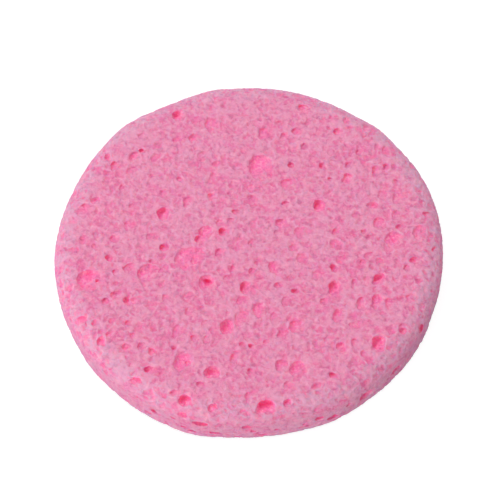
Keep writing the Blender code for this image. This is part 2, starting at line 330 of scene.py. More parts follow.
# Slits of the side that face the camera: turn from +X over a full turn, height over the
# thickness, length over the longest slit, and tallness over the tallest
SIDE_SLITS = (
    (-0.287, 0.66, 1.00, 1.0),
    (-0.302, 0.79, 0.56, 0.8),
    (-0.325, 0.49, 0.38, 0.8),
    (-0.331, 0.31, 0.44, 0.6),
    (-0.315, 0.21, 0.38, 0.4),
    (-0.309, 0.59, 0.44, 0.4),
    (-0.300, 0.37, 0.38, 0.4),
    (-0.294, 0.28, 0.50, 0.4),
    (-0.276, 0.32, 0.62, 0.4),
    (-0.259, 0.17, 0.50, 0.4),
    (-0.251, 0.57, 0.56, 0.8),
    (-0.246, 0.39, 0.31, 0.4),
    (-0.239, 0.23, 0.62, 0.4),
    (-0.228, 0.39, 0.31, 0.4),
    (-0.206, 0.38, 0.31, 0.4),
    (-0.194, 0.47, 0.50, 0.8),
    (-0.182, 0.31, 0.75, 0.8),
    (-0.169, 0.52, 0.31, 0.6),
    (-0.151, 0.44, 1.00, 1.5),
    (-0.118, 0.47, 1.00, 1.4),
    (-0.375, 0.67, 0.44, 0.6),
    (-0.414, 0.48, 0.25, 0.4),
)

# The stretch of the side that the list above covers, as turns from +X
LISTED_SIDE = (-0.42, -0.11)

# The scattered slits of the rest: the shortest and what the longest adds to it, over the
# longest slit, then the spans of height over the thickness and of tallness over the tallest
FAR_SLIT_LENGTHS = (0.25, 0.6)
FAR_SLIT_HEIGHTS = (0.2, 0.68)
FAR_SLIT_TALLNESS = (0.4, 0.9)

# The scattered pores of the underside: the narrowest and what the widest adds to it, over the
# widest pore, then the spans of stretch and of tilt, and how often each kind comes
SCATTERED_WIDTHS = (0.18, 0.55)
SCATTERED_STRETCH = (0.85, 1.1)
SCATTERED_TILT = (-0.5, 0.5)
SCATTERED_FORMS = (DISH_FORM,) * 5 + (BOWL_FORM,) * 5 + (POCKET_FORM,) * 2

# The higher these are, the more of the scattered pores and slits are small ones
SMALL_PORE_POWER = 4
SMALL_SLIT_POWER = 2

# The small cells between the pores, in layers: width over a crumb's, and depth of the dents
DENT_LAYERS = ((1.7, 0.00028), (0.95, 0.00022), (0.50, 0.00015))

# How much flatter than wide the small cells are, how far from a wall over a cell's width the
# wall ends and the dent is full, and how deep the shallowest cells are over the deepest
DENT_FLATTENING = 2.2
DENT_WALLS = (0.02, 0.30)
SHALLOWEST_DENT = 0.1

# How much of the dents' depth is left inside the pores, and the depths over which it falls off
DEEP_DENT_SHARE = 0.35
DENT_FADE_DEPTHS = (0.0004, 0.0012)

# How far one seed moves the scattered cells from the next one's, in metres
SEED_STEP = 0.0371

# How softly the scattered cells run into the rest
CELL_EDGE = 0.00018

# The box that the surface is made in: room round the block, and the rim's reach over the radius
BOX_MARGIN = 0.0008
RIM_REACH = 1.03

# Inputs of the node groups that shape the uncut block
BLOCK_SIZES = ("Radius", "Thickness", "Shoulder Reach", "Shoulder Drop", "Foot Round")

# What the points of the listed bubbles carry
BUBBLE_VECTORS = ("half_sizes", "lean", "tilt")
BUBBLE_NUMBERS = ("turn", "floor_share", "softness")

# Depths under the uncut block between which the colours of the pores come in: painted shade
# with a red glow, and painted highlights of crumbs on the floors; and how far the fibres of the
# material shift them
HOLLOW_SHADE_DEPTHS = (0.00022, 0.00075)
CRUMB_HIGHLIGHT_DEPTHS = (0.00040, 0.00090)
DEEP_SHADE_DEPTHS = (0.00075, 0.0016)
FIBRE_SHIFT = 0.00025

# How far in from the rim the shoulder's colour begins and is full, between which places it
# thins out again, and how much of it is left on the side
SHOULDER_INSETS = (0.0058, 0.0022)
RIM_INSETS = (0.0, 0.0009)
RIM_SHARE = 0.2

# How deep the painted sheen of the walls' tops reaches on the flat face, and how much deeper on
# the shoulder
TOP_REACH = 0.00024
SHOULDER_TOP_REACH = 0.00012

# The point that the camera looks at
CAMERA_AIM = Vector((0.0002, 0.0010, 0.0050))

# Where the two lights stand and how wide they are
KEY_PLACE = (-0.40, 0.30, 0.60)
FRONT_PLACE = (-0.44, -0.72, 0.15)
LIGHT_WIDTH = 0.4

# The floor's own grey, which takes the shadow, and the glow that makes it white in the picture
FLOOR_GREY = 0.30
FLOOR_GLOW = 0.82


def length_property(name, description, default):
    """A length in metres that a user may change."""
    return FloatProperty(name=name, description=description, default=default, unit="LENGTH")


def colour_property(name, description, *default):
    """A colour that a user may change."""
    return FloatVectorProperty(
        name=name, description=description, default=(*default, 1.0), subtype="COLOR", size=4
    )


class SpongeSizes(bpy.types.PropertyGroup):
    """Sizes of the sponge and its cells."""

    diameter: length_property("Diameter", "Mean width of the disc", 0.080)
    thickness: length_property("Thickness", "Height of the disc", 0.010)
    shoulder_reach: length_property(
        "Shoulder reach", "How far in from the rim the upper face begins to fall", 0.0045
    )
    shoulder_drop: length_property(
        "Shoulder drop", "How far the upper face falls before the side stands upright", 0.0030
    )
    foot_round: length_property("Foot round", "Radius of the lower edge", 0.0020)
    widest_pore: length_property("Widest pore", "Opening of the widest pore", 0.0068)
    usual_pore: length_property(
        "Usual pore", "Width of a usual pore, which the depths of all pores are given over", 0.0015
    )
    soft_edge: length_property(
        "Soft edge", "How far a pore's edge is rounded before its own width adds to that", 0.00008
    )
    longest_slit: length_property("Longest slit", "Length of the longest slit in the side", 0.0034)
    tallest_slit: length_property("Tallest slit", "Height of the tallest slit in the side", 0.0015)
    slit_depth: length_property("Slit depth", "How far a slit goes in", 0.0011)
    underside_pores: IntProperty(
        name="Underside pores", description="Scattered pores of the underside", default=170
    )
    far_slits: IntProperty(
        name="Far slits", description="Scattered slits round the rest of the side", default=48
    )
    crumb: length_property("Crumb", "Mean width of the small cells between the pores", 0.0014)
    grain: length_property("Grain", "Finest step that the surface is built from", 0.00022)
    seed: IntProperty(name="Seed", description="Changes the scattered cells", default=7)


class SpongeLooks(bpy.types.PropertyGroup):
    """Colours of the cellulose, and its painted sheen, highlights and shade, from the top of the
    walls to the deepest pores.
    """

    # The tops of the walls, pale with painted sheen; this colour also makes the pale patches
    pale_and_sheen_colour: colour_property(
        "Wall tops", "Colour of the thin walls between the cells", 0.735, 0.30, 0.455
    )
    face_colour: colour_property("Face", "Colour of the cut face", 0.735, 0.222, 0.385)
    shoulder_colour: colour_property(
        "Shoulder", "Colour of the wall tops on the shoulder", 0.64, 0.34, 0.48
    )
    # Rosy patches, and painted shade with a red glow on steep walls and in shallow pores
    rosy_and_shade_colour: colour_property(
        "Hollows", "Colour of shallow pores, steep walls and rosy patches", 0.92, 0.165, 0.400
    )
    # Painted shade with a red glow at the bottom of deep pores
    deep_shade_colour: colour_property(
        "Deep pores", "Colour at the bottom of deep pores", 0.94, 0.062, 0.250
    )
    mark_colour: colour_property(
        "Marks", "Tint of the small rosy marks on the face and in its pores", 0.79, 0.71, 0.78
    )
    # Painted highlights of the finest crumbs and flecks
    fleck_highlight_colour: colour_property(
        "Flecks", "Colour of the finest crumbs, which catch the light", 0.90, 0.45, 0.60
    )
    streak_colour: colour_property(
        "Streaks", "Colour of the dry, greyish streaks on the walls", 0.69, 0.29, 0.43
    )


class StageSettings(bpy.types.PropertyGroup):
    """Camera, lights and floor."""

    elevation: FloatProperty(
        name="Elevation", description="How far above the floor the camera looks from",
        default=math.radians(58.3), unit="ROTATION",
    )
    distance: length_property("Distance", "From the camera to the sponge", 0.400)
    lens: FloatProperty(
        name="Lens", description="Length of the lens in millimetres", default=140.0
    )
    sky: FloatProperty(name="Sky", description="Strength of the even light", default=0.80)
    key_power: FloatProperty(
        name="Key light", description="Power of the high light from the left",
        default=2.2, unit="POWER",
    )
    front_power: FloatProperty(
        name="Front light", description="Power of the low light that brightens the side",
        default=3.9, unit="POWER",
    )
    floor_size: length_property("Floor", "Width of the floor", 6.0)


def plug(tree, value, socket):
    """Links an output to this input, or sets the input to a plain value."""
    if isinstance(value, bpy.types.NodeSocket):
        tree.links.new(value, socket)
    elif value is not None:
        socket.default_value = value


def enabled(sockets, name):
    """The socket of this name that the node's present mode uses."""
    return next(socket for socket in sockets if socket.enabled and socket.name == name)


def add(tree, kind, settings=(), **values):
    """A node with its settings and inputs; an input is named in lower case with underscores."""
    node = tree.nodes.new(kind)
    for name, value in dict(settings).items():
        setattr(node, name, value)
    for name, value in values.items():
        wanted = name.replace("_", " ")
        plug(tree, value, next(s for s in node.inputs if s.enabled and s.name.lower() == wanted))
    return node


def made(tree, kind, settings=(), **values):
    """The first output of a new node."""
    return add(tree, kind, settings, **values).outputs[0]


def math_of(tree, operation, *values):
    """One sum or other step with numbers."""
    node = tree.nodes.new("ShaderNodeMath")
    node.operation = operation
    for value, socket in zip(values, node.inputs):
        plug(tree, value, socket)
    return node.outputs[0]


def vector_of(tree, operation, *values):
    """One step with vectors."""
    node = tree.nodes.new("ShaderNodeVectorMath")
    node.operation = operation
    for value, socket in zip(values, node.inputs):
        plug(tree, value, socket)
    return node.outputs["Value" if operation in {"LENGTH", "DOT_PRODUCT"} else "Vector"]


def scaled(tree, vector, by):
    """A vector made this many times as long."""
    settings = {"operation": "SCALE"}
    return made(tree, "ShaderNodeVectorMath", settings, vector=vector, scale=by)


def split(tree, vector):
    """The X, Y and Z of a vector."""
    return add(tree, "ShaderNodeSeparateXYZ", vector=vector).outputs


def joined(tree, x, y, z):
    """A vector of these three."""
    return made(tree, "ShaderNodeCombineXYZ", x=x, y=y, z=z)


def squares_root(tree, first, second):
    """The root of the sum of two squares."""
    square = math_of(tree, "MULTIPLY", first, first)
    return math_of(tree, "SQRT", math_of(tree, "MULTIPLY_ADD", second, second, square))


def ranged(tree, value, low, high, new_low=0.0, new_high=1.0, smooth=False):
    """Goes from new_low to new_high while the value goes from low to high."""
    node = tree.nodes.new("ShaderNodeMapRange")
    node.interpolation_type = "SMOOTHSTEP" if smooth else "LINEAR"
    for given, socket in zip((value, low, high, new_low, new_high), node.inputs):
        plug(tree, given, socket)
    return node.outputs[0]


def named(tree, name, data_type="FLOAT"):
    """A named attribute, in a geometry tree."""
    return add(
        tree, "GeometryNodeInputNamedAttribute", {"data_type": data_type}, name=name
    ).outputs["Attribute"]


def evened(tree, vector, rounds):
    """This vector averaged with those of the neighbouring points, so many times over."""
    node = add(tree, "GeometryNodeBlurAttribute", {"data_type": "FLOAT_VECTOR"}, iterations=rounds)
    plug(tree, vector, enabled(node.inputs, "Value"))
    return enabled(node.outputs, "Value")


def shaken(tree, place, size, amount, detail, rise_share=1.0):
    """The place pushed about by smooth noise of this size; up and down, by a share of that."""
    noise = add(tree, "ShaderNodeTexNoise", vector=place, scale=1 / size, detail=detail)
    centred = vector_of(tree, "SUBTRACT", noise.outputs["Color"], (0.5, 0.5, 0.5))
    push = (2 * amount, 2 * amount, 2 * amount * rise_share)
    return vector_of(tree, "ADD", place, vector_of(tree, "MULTIPLY", centred, push))


def new_group(name, inputs, outputs):
    """An empty geometry group with sockets of these names and kinds, and its two end nodes."""
    tree = bpy.data.node_groups.new(name, "GeometryNodeTree")
    for side, sockets in (("INPUT", inputs), ("OUTPUT", outputs)):
        for socket_name, kind in sockets.items():
            tree.interface.new_socket(socket_name, in_out=side, socket_type="NodeSocket" + kind)
    return tree, tree.nodes.new("NodeGroupInput").outputs, tree.nodes.new("NodeGroupOutput").inputs


def use_group(tree, group, **values):
    """A group in a geometry tree; an input is named in lower case with underscores."""
    node = tree.nodes.new("GeometryNodeGroup")
    node.node_tree = group
    for socket in node.inputs:
        plug(tree, values.get(socket.name.lower().replace(" ", "_")), socket)
    return node.outputs


def block_depth_group():
    """How far a place lies under the surface of the uncut block."""
    tree, given, result = new_group(
        "Block depth",
        {"Place": "Vector", **dict.fromkeys(BLOCK_SIZES, "Float")},
        {"Depth": "Float", "Inset": "Float"},
    )
    place = split(tree, given["Place"])
    angle = math_of(tree, "ARCTAN2", place["Y"], place["X"])
    swell = 1.0
    for waves, cosine, sine in RIM_WAVES:
        turned = math_of(tree, "MULTIPLY_ADD", angle, waves, -math.atan2(sine, cosine))
        wave = math_of(tree, "COSINE", turned)
        swell = math_of(tree, "MULTIPLY_ADD", wave, math.hypot(cosine, sine), swell)
    for turn, half_width, rise in RIM_NICKS:
        off = math_of(tree, "ABSOLUTE", math_of(tree, "SUBTRACT", angle, math.tau * turn))
        nick = ranged(tree, off, 0.0, math.tau * half_width, rise, 0.0, smooth=True)
        swell = math_of(tree, "ADD", swell, nick)
    away = squares_root(tree, place["X"], place["Y"])
    inset = math_of(tree, "SUBTRACT", math_of(tree, "MULTIPLY", given["Radius"], swell), away)
    under_top = math_of(tree, "SUBTRACT", given["Thickness"], place["Z"])
    depth = math_of(tree, "MINIMUM", inset, math_of(tree, "MINIMUM", place["Z"], under_top))
    for below, reach, drop in (
        (under_top, given["Shoulder Reach"], given["Shoulder Drop"]),
        (place["Z"], given["Foot Round"], given["Foot Round"]),
    ):
        across = math_of(tree, "DIVIDE", math_of(tree, "SUBTRACT", reach, inset), reach)
        # Kept above nothing, so that no step below divides by it
        across = math_of(tree, "MAXIMUM", across, 1e-4)
        up = math_of(tree, "DIVIDE", math_of(tree, "SUBTRACT", drop, below), drop)
        up = math_of(tree, "MAXIMUM", up, 0)
        run = squares_root(tree, across, up)
        steep = squares_root(
            tree, math_of(tree, "DIVIDE", across, reach), math_of(tree, "DIVIDE", up, drop)
        )
        inside = math_of(tree, "MULTIPLY", math_of(tree, "SUBTRACT", 1, run), run)
        depth = math_of(tree, "MINIMUM", depth, math_of(tree, "DIVIDE", inside, steep))
    plug(tree, depth, result["Depth"])
    plug(tree, inset, result["Inset"])
    return tree


def bubble_group():
    """Distance from the nearest listed bubble's wall or flat floor."""
    tree, given, result = new_group(
        "Listed bubble",
        {"Bubbles": "Geometry", "Place": "Vector"},
        {"Distance": "Float", "Softness": "Float"},
    )
    nearest = made(
        tree, "GeometryNodeSampleNearest", {"domain": "POINT"},
        geometry=given["Bubbles"], sample_position=given["Place"],
    )

    def of_nearest(value, data_type="FLOAT_VECTOR"):
        settings = {"data_type": data_type, "domain": "POINT"}
        return made(
            tree, "GeometryNodeSampleIndex", settings,
            geometry=given["Bubbles"], value=value, index=nearest,
        )

    middle = of_nearest(made(tree, "GeometryNodeInputPosition"))
    half_sizes, lean, tilt = (
        of_nearest(named(tree, name, "FLOAT_VECTOR")) for name in BUBBLE_VECTORS
    )
    turn, floor_share, softness = (
        of_nearest(named(tree, name), "FLOAT") for name in BUBBLE_NUMBERS
    )
    apart = vector_of(tree, "SUBTRACT", given["Place"], middle)
    rise = split(tree, apart)["Z"]
    upright = vector_of(tree, "SUBTRACT", apart, scaled(tree, lean, rise))
    turned = made(
        tree, "ShaderNodeVectorRotate", {"rotation_type": "Z_AXIS"},
        vector=upright, angle=math_of(tree, "MULTIPLY", turn, -1),
    )
    over = vector_of(tree, "DIVIDE", turned, half_sizes)
    run = vector_of(tree, "LENGTH", over)
    steep = vector_of(tree, "LENGTH", vector_of(tree, "DIVIDE", over, half_sizes))
    outside = math_of(tree, "MULTIPLY", math_of(tree, "SUBTRACT", run, 1), run)
    wall = math_of(tree, "DIVIDE", outside, steep)
    height = math_of(tree, "ABSOLUTE", split(tree, over)["Z"])
    slope = vector_of(tree, "DOT_PRODUCT", tilt, over)
    sloping = math_of(tree, "MAXIMUM", math_of(tree, "ADD", slope, 1), LEDGE_SHARE)
    floor_here = math_of(tree, "MULTIPLY", sloping, floor_share)
    past_floor = math_of(tree, "SUBTRACT", height, floor_here)
    floor = math_of(tree, "MULTIPLY", past_floor, split(tree, half_sizes)["Z"])
    plug(tree, math_of(tree, "SMOOTH_MAX", wall, floor, softness), result["Distance"])
    plug(tree, softness, result["Softness"])
    return tree


def cells_group():
    """Distance from the wall of the nearest scattered cell, which closes as it goes deeper."""
    tree, given, result = new_group(
        "Scattered cells",
        {
            "Place": "Vector", "Depth": "Float", "Spacing": "Float", "Smallest": "Float",
            "Largest": "Float", "Flatness": "Float", "Closing": "Float", "Seed": "Float",
        },
        {"Distance": "Float"},
    )
    place = split(tree, given["Place"])
    raised = math_of(tree, "DIVIDE", place["Z"], given["Flatness"])
    vector = joined(tree, place["X"], place["Y"], math_of(tree, "ADD", raised, given["Seed"]))
    scale = math_of(tree, "DIVIDE", 1, given["Spacing"])
    cells = add(tree, "ShaderNodeTexVoronoi", vector=vector, scale=scale)
    chance = split(tree, cells.outputs["Color"])["X"]
    radius = ranged(tree, chance, 0, 1, given["Smallest"], given["Largest"])
    away = math_of(tree, "MULTIPLY", cells.outputs["Distance"], given["Spacing"])
    closed = math_of(tree, "MULTIPLY_ADD", given["Depth"], given["Closing"], away)
    plug(tree, math_of(tree, "SUBTRACT", closed, radius), result["Distance"])
    return tree


def dents_group():
    """How deep the small cells dent the face: hollows of several widths with thin walls between."""
    tree, given, result = new_group(
        "Small cells",
        {"Place": "Vector", "Width": "Float", "Seed": "Float"},
        {"Depth": "Float"},
    )
    place = split(tree, shaken(tree, given["Place"], size=0.0011, amount=0.0006, detail=3))
    raised = math_of(tree, "MULTIPLY_ADD", place["Z"], DENT_FLATTENING, given["Seed"])
    vector = joined(tree, place["X"], place["Y"], raised)
    total = 0.0
    for share, depth in DENT_LAYERS:
        scale = math_of(tree, "DIVIDE", 1 / share, given["Width"])
        cells = add(tree, "ShaderNodeTexVoronoi", vector=vector, scale=scale)
        walls = add(
            tree, "ShaderNodeTexVoronoi", {"feature": "DISTANCE_TO_EDGE"},
            vector=vector, scale=scale,
        ).outputs["Distance"]
        # A thin wall stays high, and each cell has a depth of its own
        hollow = ranged(tree, walls, *DENT_WALLS)
        chance = split(tree, cells.outputs["Color"])["X"]
        open_share = ranged(tree, chance, 0.1, 0.9, SHALLOWEST_DENT, 1.0)
        hollow = math_of(tree, "MULTIPLY", hollow, open_share)
        total = math_of(tree, "MULTIPLY_ADD", hollow, depth, total)
    plug(tree, total, result["Depth"])
    return tree


def cut_by_bubbles(tree, given, density, place, class_count):
    """The density less the listed bubbles, class by class."""
    bubble = bubble_group()
    for number in range(class_count):
        chosen = add(tree, "FunctionNodeCompare", {"data_type": "INT", "operation": "EQUAL"})
        plug(tree, named(tree, "bubble_class", "INT"), enabled(chosen.inputs, "A"))
        plug(tree, number, enabled(chosen.inputs, "B"))
        of_class = made(
            tree, "GeometryNodeSeparateGeometry",
            geometry=given["Bubbles"], selection=chosen.outputs[0],
        )
        found = use_group(tree, bubble, bubbles=of_class, place=place)
        density = math_of(tree, "SMOOTH_MIN", density, found["Distance"], found["Softness"])
    return density


def surface_of(tree, given, density):
    """The surface where the density changes sign, in a box round the block."""
    reach = math_of(tree, "MULTIPLY_ADD", given["Radius"], RIM_REACH, BOX_MARGIN)
    back = math_of(tree, "MULTIPLY", reach, -1)
    top = math_of(tree, "ADD", given["Thickness"], BOX_MARGIN)
    wide = math_of(tree, "DIVIDE", math_of(tree, "MULTIPLY", reach, 2), given["Grain"])
    tall = math_of(tree, "DIVIDE", math_of(tree, "ADD", top, BOX_MARGIN), given["Grain"])
    volume = made(
        tree, "GeometryNodeVolumeCube", density=density, background=-1.0,
        min=joined(tree, back, back, -BOX_MARGIN), max=joined(tree, reach, reach, top),
        resolution_x=wide, resolution_y=wide, resolution_z=tall,
    )
    return made(tree, "GeometryNodeVolumeToMesh", volume=volume, threshold=0.0, adaptivity=0.0)


def largest_island(tree, surface):
    """The surface without its loose crumbs and shut-in bubbles."""
    island = made(tree, "GeometryNodeInputMeshIsland")
    counted = add(tree, "GeometryNodeAccumulateField", {"data_type": "INT", "domain": "POINT"})
    plug(tree, 1, enabled(counted.inputs, "Value"))
    plug(tree, island, next(s for s in counted.inputs if s.name in {"Group ID", "Group Index"}))
    total = counted.outputs["Total"]
    stats = add(
        tree, "GeometryNodeAttributeStatistic", {"data_type": "FLOAT", "domain": "POINT"},
        geometry=surface, attribute=total,
    )
    smaller = add(tree, "FunctionNodeCompare", {"data_type": "FLOAT", "operation": "LESS_THAN"})
    plug(tree, total, enabled(smaller.inputs, "A"))
    plug(tree, enabled(stats.outputs, "Max"), enabled(smaller.inputs, "B"))
    loose = smaller.outputs[0]
    return made(tree, "GeometryNodeDeleteGeometry", geometry=surface, selection=loose)


def foam_group(class_count):
    """The whole sponge: the block less its bubbles and cells, as a surface."""
    tree, given, result = new_group(
        "Open-cell block",
        {
            "Bubbles": "Geometry",
            **dict.fromkeys(BLOCK_SIZES, "Float"),
            "Crumb": "Float",
            "Grain": "Float",
            "Seed": "Int",
            "Material": "Material",
        },
        {"Sponge": "Geometry"},
    )
    place = made(tree, "GeometryNodeInputPosition")
    normal = made(tree, "GeometryNodeInputNormal")
    block_sizes = {name.lower().replace(" ", "_"): given[name] for name in BLOCK_SIZES}
    block = use_group(tree, block_depth_group(), place=place, **block_sizes)
    depth = block["Depth"]
    seed = math_of(tree, "MULTIPLY", given["Seed"], SEED_STEP)

    # The block less its bubbles. Where a cell's size comes out below nothing, there is none.
    soft_place = shaken(tree, place, size=0.0024, amount=0.0006, detail=2, rise_share=0.2)
    density = cut_by_bubbles(tree, given, depth, soft_place, class_count)
    cells = use_group(
        tree, cells_group(), place=soft_place, depth=depth, spacing=0.0019, smallest=-0.0011,
        largest=0.00065, flatness=0.55, closing=0.95, seed=seed,
    )["Distance"]
    density = math_of(tree, "SMOOTH_MIN", density, cells, CELL_EDGE)
    geometry = largest_island(tree, surface_of(tree, given, density))
    even_place = evened(tree, place, rounds=1)
    geometry = made(tree, "GeometryNodeSetPosition", geometry=geometry, position=even_place)

    # Evened normals keep the dents from pushing a thin wall through itself
    outward = evened(tree, normal, rounds=6)
    dents = use_group(tree, dents_group(), place=place, width=given["Crumb"], seed=seed)["Depth"]
    near_face = ranged(tree, depth, *DENT_FADE_DEPTHS, 1.0, DEEP_DENT_SHARE)
    inward = math_of(tree, "MULTIPLY", math_of(tree, "MULTIPLY", dents, near_face), -1)
    dent = scaled(tree, outward, inward)
    geometry = made(tree, "GeometryNodeSetPosition", geometry=geometry, offset=dent)

    # What the material reads to paint its highlights and shade: how far a place stands out from
    # those round it, and how much it is turned away from the way that the surface faces there in
    # general
    stands_out = vector_of(tree, "SUBTRACT", place, evened(tree, place, rounds=5))
    raised = vector_of(tree, "DOT_PRODUCT", stands_out, normal)
    general = vector_of(tree, "NORMALIZE", evened(tree, normal, rounds=30))
    steep = math_of(tree, "SUBTRACT", 1, vector_of(tree, "DOT_PRODUCT", normal, general))
    for name, value in (
        ("sunk", depth), ("raised", raised), ("inset", block["Inset"]), ("steep", steep),
    ):
        geometry = made(
            tree, "GeometryNodeStoreNamedAttribute", {"data_type": "FLOAT", "domain": "POINT"},
            geometry=geometry, name=name, value=value,
        )
    geometry = made(tree, "GeometryNodeSetShadeSmooth", geometry=geometry)
    geometry = made(tree, "GeometryNodeRealizeInstances", geometry=geometry)
    material = given["Material"]
    geometry = made(tree, "GeometryNodeSetMaterial", geometry=geometry, material=material)
    plug(tree, geometry, result["Sponge"])
    return tree


def rim_radius(sizes, angle):
    """The disc's radius in this direction, without the small nicks of its rim."""
    swell = sum(
        cosine * math.cos(waves * angle) + sine * math.sin(waves * angle)
        for waves, cosine, sine in RIM_WAVES
    )
    return sizes.diameter / 2 * (1 + swell)


def face_height(sizes, x, y):
    """How high the upper surface lies over this place."""
    inset = rim_radius(sizes, math.atan2(y, x)) - math.hypot(x, y)
    run = 1 - min(max(inset, 0) / sizes.shoulder_reach, 1)
    return sizes.thickness - sizes.shoulder_drop * (1 - math.sqrt(1 - run * run))


class Bubble:
    """One bubble that the cut opened: a middle, three half sizes, a turn, and a flat floor."""

    def __init__(self, middle, half_sizes, turn, floor_share, softness):
        self.middle, self.half_sizes, self.turn = middle, half_sizes, turn
        self.floor_share, self.softness = floor_share, softness
        self.lean = self.tilt = (0, 0, 0)

    def clear_of(self, other):
        """True if each one's middle is the nearer of the two everywhere inside it."""
        reach = max(*self.half_sizes, *other.half_sizes)
        return math.dist(self.middle, other.middle) > 2 * reach + self.softness + other.softness


class Pore(Bubble):
    """A bubble that opens in a face; inward is -1 where it goes down, and 1 where it goes up."""

    def __init__(self, sizes, x, y, face, across, along, form, turn=0, inward=-1):
        depth_share, sunk_share, floor_share = form
        mean = (across + along) / 2
        self.x, self.y, self.across, self.along = x, y, across, along
        usual = sizes.usual_pore
        depth = depth_share * usual * (mean / usual) ** DEPTH_POWER
        self.depth = min(depth, DEEPEST_SHARE * mean)
        half_height = self.depth / (floor_share + sunk_share)
        widening = 1 / math.sqrt(1 - sunk_share**2)
        middle = (x, y, face + inward * sunk_share * half_height)
        half_sizes = (across / 2 * widening, along / 2 * widening, half_height)
        softness = min(sizes.soft_edge + EDGE_SHARE * mean, EDGE_DEPTH_SHARE * self.depth)
        super().__init__(middle, half_sizes, math.tau * turn, floor_share, softness)

    def holds(self, x, y):
        """True if this place lies inside the opening, off its slope."""
        across = (x - self.x) / (self.across / 2)
        along = (y - self.y) / (self.along / 2)
        return across**2 + along**2 < FLAT_SHARE**2


def upper_pores(sizes):
    """The listed pores of the upper face; one inside a wider one opens from its floor."""
    radius = sizes.diameter / 2
    chance = random.Random(sizes.seed + 2)
    rows = [
        (row, form)
        for table, form in ((DISHES, DISH_FORM), (BOWLS, BOWL_FORM), (POCKETS, POCKET_FORM))
        for row in table
    ]
    rows.sort(key=lambda item: -item[0][2] - item[0][3])
    found = []
    for (x_share, y_share, across_share, along_share, *turn), form in rows:
        x, y = radius * x_share, radius * y_share
        floors = [wider.depth for wider in found if wider.holds(x, y)]
        face = face_height(sizes, x, y) - max(floors, default=0)
        across, along = sizes.widest_pore * across_share, sizes.widest_pore * along_share
        pore = Pore(sizes, x, y, face, across, along, form, *turn)
        pore.lean = (chance.uniform(0, LEAN), chance.uniform(-LEAN, 0), 0)
        pore.tilt = (chance.uniform(*TILT_ACROSS), chance.uniform(*TILT_ALONG), 0)
        found.append(pore)
    return found


def underside_pores(sizes):
    """Scattered pores of the underside, of the same kinds and sizes as those above."""
    chance = random.Random(sizes.seed)
    narrowest, widening = SCATTERED_WIDTHS
    found = []
    for _ in range(sizes.underside_pores):
        angle = chance.uniform(0, math.tau)
        out = (rim_radius(sizes, angle) - sizes.foot_round) * math.sqrt(chance.random())
        width_share = narrowest + widening * chance.random() ** SMALL_PORE_POWER
        width = sizes.widest_pore * width_share
        across = width * chance.uniform(*SCATTERED_STRETCH)
        along = width * chance.uniform(*SCATTERED_STRETCH)
        x, y = out * math.cos(angle), out * math.sin(angle)
        pore = Pore(sizes, x, y, 0, across, along, chance.choice(SCATTERED_FORMS), inward=1)
        pore.tilt = (chance.uniform(*SCATTERED_TILT), chance.uniform(*SCATTERED_TILT), 0)
        found.append(pore)
    return found


def side_slits(sizes):
    """The listed slits of the side, and scattered ones round the rest of it."""
    chance = random.Random(sizes.seed + 1)
    rows = list(SIDE_SLITS)
    shortest, lengthening = FAR_SLIT_LENGTHS
    for _ in range(sizes.far_slits):
        turn = chance.uniform(LISTED_SIDE[1], 1 + LISTED_SIDE[0])
        length = shortest + lengthening * chance.random() ** SMALL_SLIT_POWER
        height = chance.uniform(*FAR_SLIT_HEIGHTS)
        rows.append((turn, height, length, chance.uniform(*FAR_SLIT_TALLNESS)))
    found = []
    for turn, height_share, length_share, tall_share in rows:
        angle = math.tau * turn
        out = rim_radius(sizes, angle)
        middle = (out * math.cos(angle), out * math.sin(angle), sizes.thickness * height_share)
        half_sizes = (
            sizes.slit_depth * math.sqrt(tall_share),
            sizes.longest_slit * length_share / 2,
            sizes.tallest_slit * tall_share / 2,
        )
        found.append(Bubble(middle, half_sizes, angle, 1.0, sizes.soft_edge))
    return found


def classed(bubbles):
    """The bubbles in classes; in one class, a place in a bubble is nearest to its own middle."""
    classes = []
    for bubble in sorted(bubbles, key=lambda bubble: -max(bubble.half_sizes)):
        for members in classes:
            if all(bubble.clear_of(other) for other in members):
                members.append(bubble)
                break
        else:
            classes.append([bubble])
    return classes


def bubble_points(classes):
    """All the listed bubbles as loose points that carry their sizes and their class."""
    rows = [(bubble, number) for number, members in enumerate(classes) for bubble in members]
    mesh = bpy.data.meshes.new("listed_bubbles")
    mesh.from_pydata([bubble.middle for bubble, _ in rows], [], [])
    for name in BUBBLE_VECTORS:
        attribute = mesh.attributes.new(name, "FLOAT_VECTOR", "POINT")
        numbers = [number for bubble, _ in rows for number in getattr(bubble, name)]
        attribute.data.foreach_set("vector", numbers)
    for name in BUBBLE_NUMBERS:
        attribute = mesh.attributes.new(name, "FLOAT", "POINT")
        attribute.data.foreach_set("value", [getattr(bubble, name) for bubble, _ in rows])
    attribute = mesh.attributes.new("bubble_class", "INT", "POINT")
    attribute.data.foreach_set("value", [number for _, number in rows])
    return mesh


def mixed(tree, factor, first, second, blend="MIX"):
    """One colour run into another, or tinted by it, in a material."""
    node = tree.nodes.new("ShaderNodeMix")
    node.data_type = "RGBA"
    node.blend_type = blend
    plug(tree, factor, enabled(node.inputs, "Factor"))
    plug(tree, first, enabled(node.inputs, "A"))
    plug(tree, second, enabled(node.inputs, "B"))
    return enabled(node.outputs, "Result")


def noise_of(tree, place, width, detail=2, **inputs):
    """Smooth noise around one half, in patches of about this width, in a material."""
    scale = 1 / width
    return made(tree, "ShaderNodeTexNoise", vector=place, scale=scale, detail=detail, **inputs)


def where(tree, pattern, start, full, most=1.0):
    """How much of a colour shows: none where the pattern is at start, and the most at full."""
    return ranged(tree, pattern, start, full, 0.0, most)


